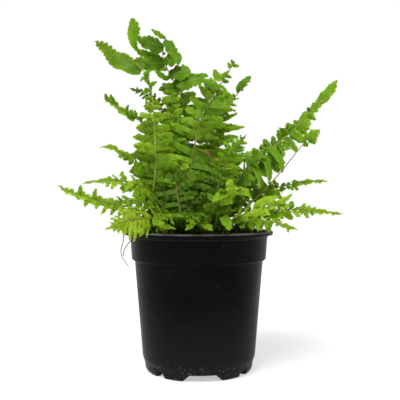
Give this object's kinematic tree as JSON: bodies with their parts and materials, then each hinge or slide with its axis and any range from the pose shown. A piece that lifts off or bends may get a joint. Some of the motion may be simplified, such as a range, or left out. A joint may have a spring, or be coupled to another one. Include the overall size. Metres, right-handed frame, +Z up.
{
  "type": "potted boston fern",
  "caption": "Young Boston fern with upright and arching fronds in a black moulded nursery pot with a collar band, cut-out feet and drain holes.",
  "frame": {"origin": "on the ground under the pot's axis, at the bottom of the pot's feet", "axes": "+Z up along the pot's axis, +X to the right and -Y towards the viewer of the front"},
  "size_m": [0.329, 0.2196, 0.3914],
  "materials": {
    "pot_plastic": "moulded black plastic, satin, with dust specks",
    "peat": "rough dark peat mix with perlite",
    "rhizome": "rough brown scales and old stipe bases",
    "fern_leaf": "soft satin leaf, light green with darker veins",
    "runner_stem": "smooth thin yellow green stem"
  },
  "bodies": {
    "root": {"crown": "rhizome", "frond_back": "fern_leaf", "frond_back_left": "fern_leaf", "frond_back_low": "fern_leaf", "frond_back_low_left": "fern_leaf", "frond_back_low_right": "fern_leaf", "frond_back_right": "fern_leaf", "frond_back_tall": "fern_leaf", "frond_back_upright": "fern_leaf", "frond_centre_front": "fern_leaf", "frond_centre_left": "fern_leaf", "frond_centre_mid": "fern_leaf", "frond_centre_right": "fern_leaf", "frond_centre_top": "fern_leaf", "frond_front": "fern_leaf", "frond_front_left": "fern_leaf", "frond_front_right": "fern_leaf", "frond_left_far": "fern_leaf", "frond_left_high": "fern_leaf", "frond_left_light": "fern_leaf", "frond_left_lower": "fern_leaf", "frond_left_mid": "fern_leaf", "frond_left_rim": "fern_leaf", "frond_left_sprig": "fern_leaf", "frond_right_level": "fern_leaf", "frond_right_light": "fern_leaf", "frond_right_low": "fern_leaf", "frond_right_mid": "fern_leaf", "frond_right_rim": "fern_leaf", "frond_right_sparse": "fern_leaf", "frond_right_tall": "fern_leaf", "frond_side_left": "fern_leaf", "frond_side_right": "fern_leaf", "frond_upper_right": "fern_leaf", "frond_young_front": "fern_leaf", "frond_young_left": "fern_leaf", "frond_young_right": "fern_leaf", "pot": "pot_plastic", "runner_dark": "runner_stem", "runner_light": "runner_stem", "soil": "peat"}
  },
  "joints": []
}
